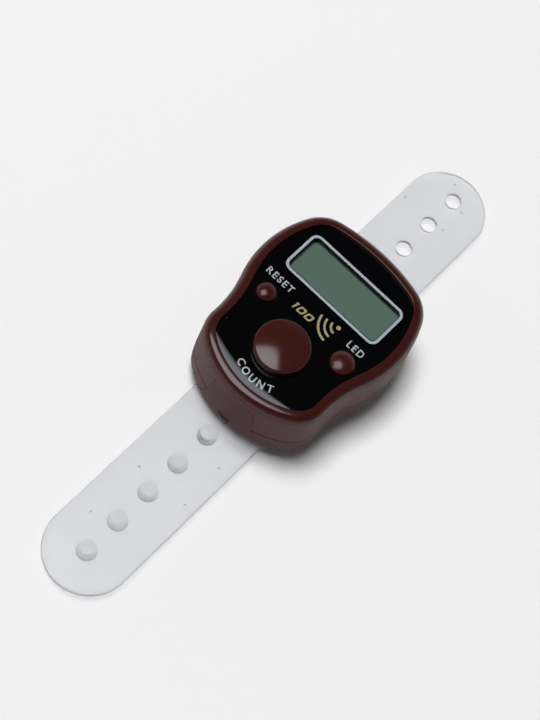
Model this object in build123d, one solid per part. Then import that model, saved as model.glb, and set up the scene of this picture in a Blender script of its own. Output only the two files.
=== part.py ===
from build123d import *
import math
import os

# Finger tally counter: a waisted two-part case on a clear strap, with a display and three push buttons.
# Millimetres. +Z points out of the display, +Y towards the display end and +X to the reader's right.
# The origin is the middle of the flat bridge on the back, so the counter lies on the plane z = 0.

# Outline of the face panel, as tangent arcs on each side of the centre line
panel_top_y = 16.0
panel_bottom_y = -15.7
panel_half_width = 12.6
flank_y = 5.0
top_radius = 33.0
corner_radius = 4.6
flank_radius = 17.5
waist_radius = 23.0
hip_half_width = 10.05
hip_radius = 3.8
bottom_radius = 15.2

# Case shells, with heights counted from the flat back
rim_width = 2.3
rim_rise = 0.45
rim_round = 1.7
rim_lip_round = 0.15
wall_thickness = 1.5
wall_draft = 2.0
parting_rise = 4.6
case_height = 13.0
web_thickness = 0.6
cover_floor = 1.2
cover_round = 1.2
seam_chamfer = 0.18
lip_thickness = 0.6
lip_height = 1.0
lip_gap = 0.1

# Tongue of the back cover in the near end wall, flared towards the back
tongue_top_width = 8.2
tongue_seam_width = 9.6
tongue_foot_width = 13.2
tongue_height = 5.8
tongue_gap = 0.08
tongue_corner = 0.6
tongue_groove_depth = 0.4
gate_mark_radius = 1.2
gate_mark_depth = 0.15
gate_mark_rise = 2.8

# Strap and the bridge that holds it against the back
strap_width = 15.0
strap_thickness = 1.1
strap_edge_round = 0.3
strap_near_reach = 55.4
strap_far_reach = 47.0
strap_gap = 0.2
bridge_length = 14.0
bridge_thickness = 1.0
bridge_wall = 1.4
bridge_corner = 1.6
bridge_round = 0.5
peg_count = 5
hole_count = 3
strap_pitch = 6.8
peg_tip_margin = 6.8
hole_tip_margin = 5.0
peg_base_radius = 1.65
peg_top_radius = 1.35
peg_height = 2.3
peg_top_round = 0.3
hole_radius = 1.7

# Face panel, display window and display stack
panel_thickness = 0.7
panel_gap = 0.08
panel_slope_width = 2.0
panel_slope_bow = 22.0
panel_slope_blend = 2.4
panel_slope_angle = 12.0
display_y = 8.15
view_half_length = 9.37
view_half_height = 3.62
view_corner = 1.0
pane_thickness = 0.5
pane_margin = 0.7
pane_gap = 0.05
web_window_margin = 0.2
polariser_margin = 0.3
polariser_thickness = 0.15
glass_margin = 0.5
glass_thickness = 0.5
contact_ledge = 1.2
guide_thickness = 1.15
connector_width = 0.9
display_rib = 0.6
display_gap = 0.15
lamp_length = 1.6
lamp_width = 0.8
lamp_height = 0.7
lamp_gap = 0.2

# Buttons and the rubber domes under them
count_y = -7.15
count_radius = 4.65
count_side_rise = 1.5
count_crown_rise = 0.9
count_edge_round = 0.45
small_button_x = 8.3
small_button_y = -1.75
reset_radius = 1.65
led_radius = 2.05
small_side_rise = 0.4
small_crown_rise = 0.75
small_edge_round = 0.2
button_wall = 0.8
pusher_share = 0.32
flange_width = 0.6
flange_thickness = 0.7
guide_gap = 0.1
panel_hole_gap = 0.2
stop_gap = 0.05
dome_wall = 0.35
dome_foot_share = 0.8
dome_top_share = 0.42

# Circuit board and what it carries
board_thickness = 0.8
board_gap = 0.35
blob_radius = 2.5
blob_height = 0.9
blob_y = 8.8
chip_length = 1.6
chip_width = 0.8
chip_height = 0.45
chip_count = 4
chip_pitch = 2.2
chip_row_y = 14.2
board_screw_x = 4.2
board_screw_y = 1.8
board_end_screw_y = -14.0
board_post_radius = 1.2
board_screw_head_radius = 1.0
board_screw_head_height = 0.6
board_screw_shank_radius = 0.5
board_screw_length = 2.4
screw_gap = 0.04

# Case screws and their bosses
top_screw_x = 9.4
top_screw_y = 14.0
hip_screw_x = 9.35
hip_screw_y = -10.6
boss_radius = 1.4
boss_gap = 0.25
case_screw_head_radius = 1.1
case_screw_head_height = 0.8
case_screw_shank_radius = 0.6
case_screw_length = 7.0
screw_head_sink = 0.3
screw_head_gap = 0.1
cover_post_wall = 0.6

# Button cell, its contacts and the sounder
cell_y = -5.5
cell_radius = 5.8
cell_height = 5.4
cell_cap_radius = 4.7
cell_cap_height = 0.35
cell_edge_round = 0.3
cell_ring_gap = 0.2
cell_ring_height = 2.4
contact_thickness = 0.2
contact_width = 2.6
contact_leg_gap = 0.4
negative_contact_reach = 3.2
buzzer_y = 8.8
buzzer_radius = 6.0
buzzer_plate_thickness = 0.2
ceramic_radius = 4.2
ceramic_thickness = 0.2
buzzer_ring_height = 0.8
buzzer_contact_width = 1.0
buzzer_contact_foot = 1.6
locating_ring_wall = 0.7
locating_ring_gap = 0.15

# One overrun for every cut, and how far an edge may stray and still count as level
overrun = 1.0
level_tolerance = 0.001

# Heights worked out from the stack
strap_bottom = bridge_thickness + strap_gap
strap_top = strap_bottom + strap_thickness
back_height = strap_top + strap_gap
floor_top = back_height + cover_floor
parting_height = back_height + parting_rise
panel_height = back_height + case_height
web_top = panel_height - panel_thickness
web_bottom = web_top - web_thickness
rim_top = panel_height + rim_rise
pane_bottom = web_top - pane_thickness
front_glass_top = web_bottom - polariser_thickness
front_glass_bottom = front_glass_top - glass_thickness
rear_glass_bottom = front_glass_bottom - glass_thickness
board_top = rear_glass_bottom - guide_thickness
board_bottom = board_top - board_thickness
flange_top = web_bottom - stop_gap
flange_bottom = flange_top - flange_thickness
dome_top = flange_bottom - stop_gap
cell_bottom = floor_top + contact_thickness
cell_top = cell_bottom + cell_height
screw_seat = back_height + screw_head_sink + case_screw_head_height
boss_bottom = parting_height + stop_gap

# Plan sizes worked out from the outline
cavity_offset = rim_width - wall_thickness
channel_half_width = strap_width / 2 + strap_gap
bridge_half_width = channel_half_width + bridge_wall
body_reach = panel_top_y - panel_bottom_y + rim_width * 2
case_screw_places = [
    (side * x, y)
    for x, y in ((top_screw_x, top_screw_y), (hip_screw_x, hip_screw_y))
    for side in (-1, 1)
]
board_screw_places = [
    (-board_screw_x, board_screw_y),
    (board_screw_x, board_screw_y),
    (0, board_end_screw_y),
]
glass_half_length = view_half_length + glass_margin
glass_top_y = display_y + view_half_height + glass_margin
rear_glass_end_y = display_y - view_half_height - glass_margin
front_glass_end_y = rear_glass_end_y - contact_ledge


def crossing(first, first_reach, second, second_reach):
    """Point at the two given distances from two centres, the one of larger x."""
    apart = (second - first).length
    along = (apart**2 + first_reach**2 - second_reach**2) / (2 * apart)
    across = math.sqrt(first_reach**2 - along**2)
    forward = (second - first).normalized()
    sideways = Vector(-forward.Y, forward.X)
    foot = first + forward * along
    return max((foot + sideways * across, foot - sideways * across), key=lambda point: point.X)


def arc_between(centre, start, end):
    """The shorter arc about a centre from start to end."""
    radius = (start - centre).length
    middle = ((start - centre) + (end - centre)).normalized()
    return ThreePointArc(start, centre + middle * radius, end)


def mirrored(point):
    """The same point on the other side of the centre line."""
    return Vector(-point.X, point.Y)


def outline(offset):
    """Face of the waisted outline, grown outwards by offset. Every arc keeps its centre."""
    top = Vector(0, panel_top_y - top_radius)
    bottom = Vector(0, panel_bottom_y + bottom_radius)
    flank = Vector(panel_half_width - flank_radius, flank_y)
    corner = crossing(top, top_radius - corner_radius, flank, flank_radius - corner_radius)
    hip_x = hip_half_width - hip_radius
    hip_drop = math.sqrt((bottom_radius - hip_radius) ** 2 - hip_x**2)
    hip = Vector(hip_x, bottom.Y - hip_drop)
    waist = crossing(flank, flank_radius + waist_radius, hip, hip_radius + waist_radius)

    top_end = top + (corner - top).normalized() * (top_radius + offset)
    flank_start = flank + (corner - flank).normalized() * (flank_radius + offset)
    flank_end = flank + (waist - flank).normalized() * (flank_radius + offset)
    hip_start = hip + (waist - hip).normalized() * (hip_radius + offset)
    hip_end = bottom + (hip - bottom).normalized() * (bottom_radius + offset)

    right_side = [
        (hip, hip_end, hip_start),
        (waist, hip_start, flank_end),
        (flank, flank_end, flank_start),
        (corner, flank_start, top_end),
    ]
    edges = [arc_between(bottom, mirrored(hip_end), hip_end)]
    edges += [arc_between(*arc) for arc in right_side]
    edges.append(arc_between(top, top_end, mirrored(top_end)))
    for centre, start, end in reversed(right_side):
        edges.append(arc_between(mirrored(centre), mirrored(end), mirrored(start)))
    return Face(Wire(edges))


def prism(offset, low, high):
    """The outline grown by offset, from one height to another."""
    return Pos(0, 0, low) * extrude(outline(offset), high - low)


def block(x_span, y_span, z_span):
    """Box between pairs of limits."""
    spans = (x_span, y_span, z_span)
    lengths = [high - low for low, high in spans]
    middles = [(high + low) / 2 for low, high in spans]
    return Pos(*middles) * Box(*lengths)


def rounded_block(half_length, half_height, corner, y, low, high):
    """Plate with rounded corners, centred on x = 0 and the given y."""
    plan = RectangleRounded(half_length * 2, half_height * 2, corner)
    return Pos(0, y, low) * extrude(plan, high - low)


def rod(x, y, radius, low, high):
    """Upright cylinder between two heights."""
    return Pos(x, y, low) * extrude(Circle(radius), high - low)


def ring(x, y, inner, wall, low, high):
    """Upright tube between two heights."""
    return rod(x, y, inner + wall, low, high) - rod(x, y, inner, low - overrun, high + overrun)


def turned(points):
    """Solid of revolution about Z from a half profile of radius and height pairs."""
    profile = Polyline(*[(radius, 0, height) for radius, height in points], close=True)
    return revolve(make_face(profile), Axis.Z)


def edges_at(solid, height):
    """Edges that lie level at a height."""
    return solid.edges().filter_by_position(Axis.Z, height - level_tolerance, height + level_tolerance)


def within(edge, offset):
    """Whether an edge's middle lies inside the outline grown by offset."""
    middle = edge.center()
    return outline(offset).is_inside(Vector(middle.X, middle.Y))


def case_blank():
    """Tapered outside of the upper case, with the rounded rim."""
    height = rim_top - parting_height
    blank = Pos(0, 0, parting_height) * extrude(outline(rim_width), height, taper=wall_draft)
    return fillet(edges_at(blank, rim_top), rim_round)


def tongue_block(gap):
    """Space that the flared tongue takes in the near end wall, grown by a gap."""
    near_end = panel_bottom_y - rim_width - overrun
    inside = panel_bottom_y - cavity_offset + wall_thickness
    half_widths = [
        (tongue_foot_width / 2 + gap, back_height - overrun),
        (tongue_foot_width / 2 + gap, back_height),
        (tongue_seam_width / 2 + gap, parting_height),
        (tongue_top_width / 2 + gap, parting_height + tongue_height + gap),
    ]
    right_side = [(half, near_end, height) for half, height in half_widths]
    left_side = [(-half, near_end, height) for half, height in reversed(half_widths)]
    front = make_face(Polyline(*right_side, *left_side, close=True))
    space = extrude(front, inside - near_end, dir=(0, 1, 0))
    upper_edges = space.edges().filter_by(Axis.Y).sort_by(Axis.Z)[-2:]
    return fillet(upper_edges, tongue_corner)


def button_places():
    """Plan place and radius of each button."""
    return {
        "count": (0, count_y, count_radius),
        "reset": (-small_button_x, small_button_y, reset_radius),
        "led": (small_button_x, small_button_y, led_radius),
    }


def upper_case():
    """Moulded upper shell: rim, drafted wall, web under the panel, bosses, posts and display ribs."""
    shell = case_blank()
    shell -= prism(panel_gap, web_top, rim_top + overrun)
    shell -= prism(cavity_offset, parting_height - overrun, web_bottom)
    shell -= tongue_block(tongue_gap)

    rib_half_length = glass_half_length + display_gap
    rib_low_y = front_glass_end_y - display_gap
    rib_high_y = glass_top_y + display_gap
    rib_outside = block(
        (-rib_half_length - display_rib, rib_half_length + display_rib),
        (rib_low_y - display_rib, rib_high_y + display_rib),
        (board_top, web_bottom),
    )
    rib_inside = block(
        (-rib_half_length, rib_half_length),
        (rib_low_y, rib_high_y),
        (board_top - overrun, web_bottom),
    )
    shell += rib_outside - rib_inside
    for x, y in case_screw_places:
        boss = rod(x, y, boss_radius, boss_bottom, web_bottom)
        shell += boss - rib_inside
    for x, y in board_screw_places:
        shell += rod(x, y, board_post_radius, board_top, web_bottom) - rib_inside

    for x, y in case_screw_places:
        pilot_top = screw_seat + case_screw_length + screw_gap
        shell -= rod(x, y, case_screw_shank_radius + screw_gap, boss_bottom - overrun, pilot_top)
    for x, y in board_screw_places:
        pilot_top = board_bottom + board_screw_length + screw_gap
        shell -= rod(x, y, board_screw_shank_radius + screw_gap, board_top - overrun, pilot_top)

    pane_half_length = view_half_length + pane_margin + pane_gap
    pane_half_height = view_half_height + pane_margin + pane_gap
    pane_corner = view_corner + pane_margin + pane_gap
    shell -= rounded_block(
        pane_half_length, pane_half_height, pane_corner, display_y, pane_bottom, rim_top
    )
    shell -= rounded_block(
        view_half_length + web_window_margin,
        view_half_height + web_window_margin,
        view_corner + web_window_margin,
        display_y,
        web_bottom - overrun,
        rim_top,
    )
    for x, y, radius in button_places().values():
        shell -= rod(x, y, radius + guide_gap, web_bottom - overrun, rim_top)
    seam = [edge for edge in edges_at(shell, parting_height) if not within(edge, rim_width - seam_chamfer)]
    shell = chamfer(seam, seam_chamfer)
    lip = [edge for edge in edges_at(shell, rim_top) if within(edge, panel_gap + rim_lip_round)]
    return fillet(lip, rim_lip_round)


def strap_bridge():
    """Loop under the back that the strap slides through."""
    plan = RectangleRounded(bridge_half_width * 2, bridge_length, bridge_corner)
    loop = extrude(plan, back_height + cover_floor / 2)
    loop = fillet(edges_at(loop, 0), bridge_round)
    channel = (-channel_half_width, channel_half_width)
    return loop - block(channel, (-body_reach, body_reach), (bridge_thickness, back_height))


def back_cover():
    """Lower shell: rounded back, tongue, lip, screw posts, rings and the bridge for the strap."""
    cover = prism(rim_width, back_height, parting_height)
    cover = fillet(edges_at(cover, back_height), cover_round)
    cover = chamfer(edges_at(cover, parting_height), seam_chamfer)
    cover += prism(cavity_offset - lip_gap, floor_top, parting_height + lip_height)
    hollow_offset = cavity_offset - lip_gap - lip_thickness
    cover -= prism(hollow_offset, floor_top, parting_height + lip_height + overrun)

    end_wall = case_blank() + prism(rim_width, parting_height - seam_chamfer, parting_height)
    cover += (end_wall & tongue_block(0)) - prism(cavity_offset, back_height, web_bottom)
    groove = tongue_block(tongue_gap) - tongue_block(0)
    cover -= groove - prism(rim_width - tongue_groove_depth, 0, rim_top)

    for x, y in case_screw_places:
        post_radius = case_screw_head_radius + screw_head_gap + cover_post_wall
        cover += rod(x, y, post_radius, floor_top, parting_height) & prism(rim_width, 0, web_top)
        cover -= rod(x, y, boss_radius + boss_gap, parting_height, panel_height)
        cover -= rod(x, y, case_screw_head_radius + screw_head_gap, back_height - overrun, screw_seat)
        cover -= rod(x, y, case_screw_shank_radius + screw_head_gap, back_height, panel_height)

    cell_ring_inner = cell_radius + cell_ring_gap
    cell_wall = ring(0, cell_y, cell_ring_inner, locating_ring_wall, floor_top, floor_top + cell_ring_height)
    leg_half_width = contact_width / 2 + contact_leg_gap
    cell_wall -= block((0, body_reach), (cell_y - leg_half_width, cell_y + leg_half_width), (0, panel_height))
    cover += cell_wall
    buzzer_ring_inner = buzzer_radius + locating_ring_gap
    cover += ring(
        0, buzzer_y, buzzer_ring_inner, locating_ring_wall, floor_top, floor_top + buzzer_ring_height
    )
    cover += strap_bridge()

    wall_at_mark = panel_bottom_y - rim_width
    mark = Pos(0, wall_at_mark - overrun, back_height + gate_mark_rise) * Rot(-90, 0, 0)
    return cover - mark * extrude(Circle(gate_mark_radius), overrun + gate_mark_depth)


def panel_slope():
    """Cutter that lets the near edge of the panel fall away in a shallow curve."""
    angle = math.radians(panel_slope_angle)
    centre_y = panel_bottom_y + panel_slope_width + panel_slope_bow

    def on_curve(turn):
        reach = panel_slope_bow + panel_slope_blend * math.sin(turn)
        return (reach, 0, panel_height - panel_slope_blend * (1 - math.cos(turn)))

    curve_end = on_curve(angle)
    outer_reach = panel_slope_bow + panel_slope_width + overrun
    outer_drop = (outer_reach - curve_end[0]) * math.tan(angle)
    profile = [
        ThreePointArc(on_curve(0), on_curve(angle / 2), curve_end),
        Polyline(
            curve_end,
            (outer_reach, 0, curve_end[2] - outer_drop),
            (outer_reach, 0, rim_top),
            (panel_slope_bow, 0, rim_top),
            on_curve(0),
        ),
    ]
    return Pos(0, centre_y, 0) * revolve(make_face(profile), Axis.Z)


def face_panel():
    """Black panel let into the rim, with its sloped edge, the display opening and the button holes."""
    panel = prism(0, web_top, panel_height) - panel_slope()
    panel -= rounded_block(
        view_half_length, view_half_height, view_corner, display_y, web_top - overrun, rim_top
    )
    for x, y, radius in button_places().values():
        panel -= rod(x, y, radius + panel_hole_gap, web_top - overrun, rim_top)
    return panel


def window_pane():
    """Clear pane in its step of the web, under the panel."""
    return rounded_block(
        view_half_length + pane_margin,
        view_half_height + pane_margin,
        view_corner + pane_margin,
        display_y,
        pane_bottom,
        web_top,
    )


def display_parts():
    """Polariser film, glass cell with its contact ledge, light guide, connector strip and lamp."""
    film = block(
        (-view_half_length - polariser_margin, view_half_length + polariser_margin),
        (
            display_y - view_half_height - polariser_margin,
            display_y + view_half_height + polariser_margin,
        ),
        (front_glass_top, web_bottom),
    )
    glass_x = (-glass_half_length, glass_half_length)
    front = block(glass_x, (front_glass_end_y, glass_top_y), (front_glass_bottom, front_glass_top))
    rear = block(glass_x, (rear_glass_end_y, glass_top_y), (rear_glass_bottom, front_glass_bottom))
    lamp_x = (-glass_half_length, -glass_half_length + lamp_length)
    guide = block(
        (lamp_x[1] + lamp_gap, glass_half_length),
        (rear_glass_end_y, glass_top_y),
        (board_top, rear_glass_bottom),
    )
    lamp = block(
        lamp_x,
        (display_y - lamp_width / 2, display_y + lamp_width / 2),
        (board_top, board_top + lamp_height),
    )
    strip_y = (front_glass_end_y, front_glass_end_y + connector_width)
    strip = block(glass_x, strip_y, (board_top, front_glass_bottom))
    return {
        "lcd_polariser": film,
        "lcd_cell": front + rear,
        "light_guide": guide,
        "lcd_connector": strip,
        "backlight_led": lamp,
    }


def push_button(x, y, radius, side_rise, crown_rise, edge_round):
    """Domed cap with a stop flange, hollow below round its pusher."""
    side_top = panel_height + side_rise
    sphere_radius = (radius**2 + crown_rise**2) / (2 * crown_rise)
    half_angle = math.asin(radius / sphere_radius) / 2
    sphere_z = side_top + crown_rise - sphere_radius
    on_crown = (sphere_radius * math.sin(half_angle), 0, sphere_z + sphere_radius * math.cos(half_angle))
    flange_radius = radius + flange_width
    inner_radius = radius - button_wall
    pusher_radius = radius * pusher_share
    hollow_top = side_top - button_wall
    profile = [
        ThreePointArc((0, 0, side_top + crown_rise), on_crown, (radius, 0, side_top)),
        Polyline(
            (radius, 0, side_top),
            (radius, 0, flange_top),
            (flange_radius, 0, flange_top),
            (flange_radius, 0, flange_bottom),
            (inner_radius, 0, flange_bottom),
            (inner_radius, 0, hollow_top),
            (pusher_radius, 0, hollow_top),
            (pusher_radius, 0, flange_bottom),
            (0, 0, flange_bottom),
            (0, 0, side_top + crown_rise),
        ),
    ]
    cap = revolve(make_face(profile), Axis.Z)
    cap = fillet(edges_at(cap, side_top), edge_round)
    return Pos(x, y, 0) * cap


def key_dome(x, y, radius):
    """Hollow rubber dome that returns a button and carries its contact."""
    foot = radius * dome_foot_share
    head = radius * dome_top_share
    inner_foot = foot - dome_wall * 2
    inner_head = head - dome_wall
    shape = turned(
        [
            (0, dome_top),
            (head, dome_top),
            (foot - dome_wall, board_top + dome_wall),
            (foot, board_top + dome_wall),
            (foot, board_top),
            (inner_foot, board_top),
            (inner_head, dome_top - dome_wall * 2),
            (0, dome_top - dome_wall * 2),
        ]
    )
    return Pos(x, y, 0) * shape


def circuit_board():
    """Board that fills the case, cut away round the bosses and drilled for its screws."""
    board = prism(cavity_offset - board_gap, board_bottom, board_top)
    for x, y in case_screw_places:
        board -= rod(x, y, boss_radius + boss_gap, board_bottom - overrun, board_top + overrun)
    for x, y in board_screw_places:
        hole = board_screw_shank_radius + screw_head_gap
        board -= rod(x, y, hole, board_bottom - overrun, board_top + overrun)
    return board


def board_pieces():
    """Covered chip and the row of small parts on the board."""
    cap_radius = (blob_radius**2 + blob_height**2) / (2 * blob_height)
    dome = Pos(0, blob_y, board_bottom - blob_height + cap_radius) * Sphere(cap_radius)
    below_board = block(
        (-blob_radius, blob_radius),
        (blob_y - blob_radius, blob_y + blob_radius),
        (board_bottom - blob_height, board_bottom),
    )
    chip = block(
        (-chip_width / 2, chip_width / 2),
        (chip_row_y - chip_length / 2, chip_row_y + chip_length / 2),
        (board_top, board_top + chip_height),
    )
    row_start = -chip_pitch * (chip_count - 1) / 2
    chips = [Pos(row_start + chip_pitch * index, 0, 0) * chip for index in range(chip_count)]
    return {"controller_blob": dome & below_board, "chip_parts": Compound(chips)}


def button_cell():
    """Cell lying can down on its positive contact, with the smaller cap on top."""
    cap_foot = cell_top - cell_cap_height
    can = rod(0, cell_y, cell_radius, cell_bottom, cap_foot)
    can = fillet(can.edges().filter_by(GeomType.CIRCLE), cell_edge_round)
    return can + rod(0, cell_y, cell_cap_radius, cap_foot, cell_top)


def bent_strip(path, width, turn, x, y):
    """Flat spring strip of contact thickness on the left of a bent path, put at a place in plan."""
    line = [Vector(along, 0, height) for along, height in path]
    normals = []
    for run_start, run_end in zip(line, line[1:]):
        run = (run_end - run_start).normalized()
        normals.append(Vector(-run.Z, 0, run.X))
    parallel = [line[0] + normals[0] * contact_thickness]
    for bend, before, after in zip(line[1:], normals, normals[1:]):
        middle = (before + after).normalized()
        parallel.append(bend + middle * (contact_thickness / middle.dot(before)))
    parallel.append(line[-1] + normals[-1] * contact_thickness)
    band = make_face(Polyline(*line, *reversed(parallel), close=True))
    return Pos(x, y, 0) * Rot(0, 0, turn) * extrude(band, width / 2, both=True)


def battery_contacts():
    """Strip under the can with its leg up to the board, and the leaf pressed on the cap."""
    leg_x = cell_radius + cell_ring_gap
    positive = bent_strip(
        [(0, floor_top), (leg_x + contact_thickness, floor_top), (leg_x + contact_thickness, board_bottom)],
        contact_width,
        0,
        0,
        cell_y,
    )
    negative = bent_strip(
        [
            (-negative_contact_reach * 2, board_bottom - contact_thickness),
            (-negative_contact_reach, board_bottom - contact_thickness),
            (0, cell_top),
            (negative_contact_reach, cell_top),
        ],
        contact_width,
        90,
        0,
        cell_y,
    )
    return {"battery_positive_contact": positive, "battery_negative_contact": negative}


def buzzer_parts():
    """Sounder disc and ceramic on the floor of the cover, with a leaf to each."""
    plate_top = floor_top + buzzer_plate_thickness
    ceramic_top = plate_top + ceramic_thickness
    leaf_places = (
        (-1, (buzzer_radius + ceramic_radius) / 2, plate_top),
        (1, ceramic_radius - buzzer_contact_width, ceramic_top),
    )
    leaves = []
    for side, touch, height in leaf_places:
        path = [
            (-buzzer_contact_foot, height),
            (0, height),
            (buzzer_contact_foot, board_bottom - contact_thickness),
            (buzzer_contact_foot * 2, board_bottom - contact_thickness),
        ]
        leaves.append(bent_strip(path, buzzer_contact_width, 90, side * touch, buzzer_y))
    return {
        "buzzer_plate": rod(0, buzzer_y, buzzer_radius, floor_top, plate_top),
        "buzzer_ceramic": rod(0, buzzer_y, ceramic_radius, plate_top, ceramic_top),
        "buzzer_contacts": Compound(leaves),
    }


def screw(x, y, seat, head_radius, head_height, shank_radius, length):
    """Plain screw driven upwards from its seat."""
    head = rod(x, y, head_radius, seat - head_height, seat)
    return head + rod(x, y, shank_radius, seat, seat + length)


def screws():
    """The four screws of the case and the three of the board."""
    case_set = [
        screw(
            x,
            y,
            screw_seat,
            case_screw_head_radius,
            case_screw_head_height,
            case_screw_shank_radius,
            case_screw_length,
        )
        for x, y in case_screw_places
    ]
    board_set = [
        screw(
            x,
            y,
            board_bottom,
            board_screw_head_radius,
            board_screw_head_height,
            board_screw_shank_radius,
            board_screw_length,
        )
        for x, y in board_screw_places
    ]
    return {"case_screws": Compound(case_set), "board_screws": Compound(board_set)}


def strap():
    """Round-ended strap with its row of pegs at the near end and its holes at the far end."""
    length = strap_near_reach + strap_far_reach
    middle_y = (strap_far_reach - strap_near_reach) / 2
    plan = SlotOverall(length, strap_width, rotation=90)
    band = Pos(0, middle_y, strap_bottom) * extrude(plan, strap_thickness)
    for index in range(hole_count):
        y = strap_far_reach - hole_tip_margin - strap_pitch * index
        band -= rod(0, y, hole_radius, strap_bottom - overrun, strap_top + overrun)
    outer_edges = edges_at(band, strap_top) + edges_at(band, strap_bottom)
    rim_edges = [edge for edge in outer_edges if edge.length > hole_radius * math.tau]
    band = fillet(rim_edges, strap_edge_round)
    peg = loft(
        [
            Pos(0, 0, strap_top) * Circle(peg_base_radius),
            Pos(0, 0, strap_top + peg_height) * Circle(peg_top_radius),
        ]
    )
    peg = fillet(edges_at(peg, strap_top + peg_height), peg_top_round)
    for index in range(peg_count):
        y = -strap_near_reach + peg_tip_margin + strap_pitch * index
        band += Pos(0, y, 0) * peg
    return band


def assembly():
    """Every node of the counter by its name."""
    nodes = {
        "upper_case": upper_case(),
        "back_cover": back_cover(),
        "face_panel": face_panel(),
        "window_pane": window_pane(),
        "circuit_board": circuit_board(),
        "button_cell": button_cell(),
        "strap": strap(),
    }
    nodes.update(display_parts())
    nodes.update(board_pieces())
    nodes.update(battery_contacts())
    nodes.update(buzzer_parts())
    nodes.update(screws())
    for name, place in button_places().items():
        if name == "count":
            cap_sizes = (count_side_rise, count_crown_rise, count_edge_round)
        else:
            cap_sizes = (small_side_rise, small_crown_rise, small_edge_round)
        nodes[name + "_button"] = push_button(*place, *cap_sizes)
        nodes[name + "_key_dome"] = key_dome(*place)
    return nodes


os.makedirs("parts", exist_ok=True)
for node_name, node_shape in assembly().items():
    export_step(node_shape, os.path.join("parts", node_name + ".step"))
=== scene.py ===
"""Looks of the finger tally counter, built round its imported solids.

The solids give the case, the panel, the buttons and everything inside. This file gives them their finishes,
adds the prints on the panel, the rubber domes under the buttons, the case screws and the soft strap, and
lights the counter on a pale floor. Lengths are millimetres, and they become metres where a mesh or a shader
takes them. The floor and the lamps are the exception and are in metres.
"""

import logging
import math
from abc import ABC, abstractmethod
from contextlib import contextmanager
from dataclasses import dataclass, field
from enum import Enum
from typing import Any, Callable, Iterator, Sequence

import bmesh
import bpy
from mathutils import Matrix, Vector


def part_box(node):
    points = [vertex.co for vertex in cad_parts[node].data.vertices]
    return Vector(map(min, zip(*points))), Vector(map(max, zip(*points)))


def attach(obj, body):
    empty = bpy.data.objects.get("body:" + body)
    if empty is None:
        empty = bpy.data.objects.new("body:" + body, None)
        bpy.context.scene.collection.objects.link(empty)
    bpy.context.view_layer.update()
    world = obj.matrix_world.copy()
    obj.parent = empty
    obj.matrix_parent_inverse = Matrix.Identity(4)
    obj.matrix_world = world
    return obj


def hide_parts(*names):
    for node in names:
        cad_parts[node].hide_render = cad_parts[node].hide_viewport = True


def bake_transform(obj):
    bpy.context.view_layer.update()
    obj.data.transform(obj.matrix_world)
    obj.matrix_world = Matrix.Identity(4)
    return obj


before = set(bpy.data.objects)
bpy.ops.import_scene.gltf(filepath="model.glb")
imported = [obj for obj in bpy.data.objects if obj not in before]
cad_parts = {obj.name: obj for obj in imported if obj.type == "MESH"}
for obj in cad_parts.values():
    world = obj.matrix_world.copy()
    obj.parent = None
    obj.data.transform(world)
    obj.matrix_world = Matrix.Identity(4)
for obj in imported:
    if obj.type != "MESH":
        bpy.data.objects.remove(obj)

Object = bpy.types.Object
Material = bpy.types.Material
Colour = tuple[float, float, float]
Place = tuple[float, float, float]
Point = tuple[float, float]
Test = Callable[[Vector], bool]

MM = 0.001
WHITE: Colour = (1.0, 1.0, 1.0)
UP: Place = (0.0, 0.0, 1.0)

# How near a point lies to a level face, and to a circle in plan, to count as on it
ON_FACE = 0.01
ON_CIRCLE = 0.03

# Range that holds most of the values of a noise
NOISE_RANGE: Point = (0.3, 0.7)

logging.basicConfig(level=logging.INFO, format="%(message)s")
log = logging.getLogger("counter")


class Body(Enum):
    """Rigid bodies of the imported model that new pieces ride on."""

    CASE = "case"
    STRAP = "strap"
    COUNT = "count_button"
    RESET = "reset_button"
    LED = "led_button"


class Part(Enum):
    """What a selection in edit mode is made of."""

    VERTICES = "VERT"
    EDGES = "EDGE"
    FACES = "FACE"


class Cut(Enum):
    """How one mesh acts on another."""

    TAKE_AWAY = "DIFFERENCE"
    ADD = "UNION"


def solid_box(name: str) -> tuple[Place, Place]:
    """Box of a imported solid, to the hundredth of a millimetre.

    Args:
        name: Name of the solid.

    Returns:
        Its lowest and its highest corner.
    """
    low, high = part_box(name)
    return tuple(round(value / MM, 2) for value in low), tuple(round(value / MM, 2) for value in high)


# Modelling by hand


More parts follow.
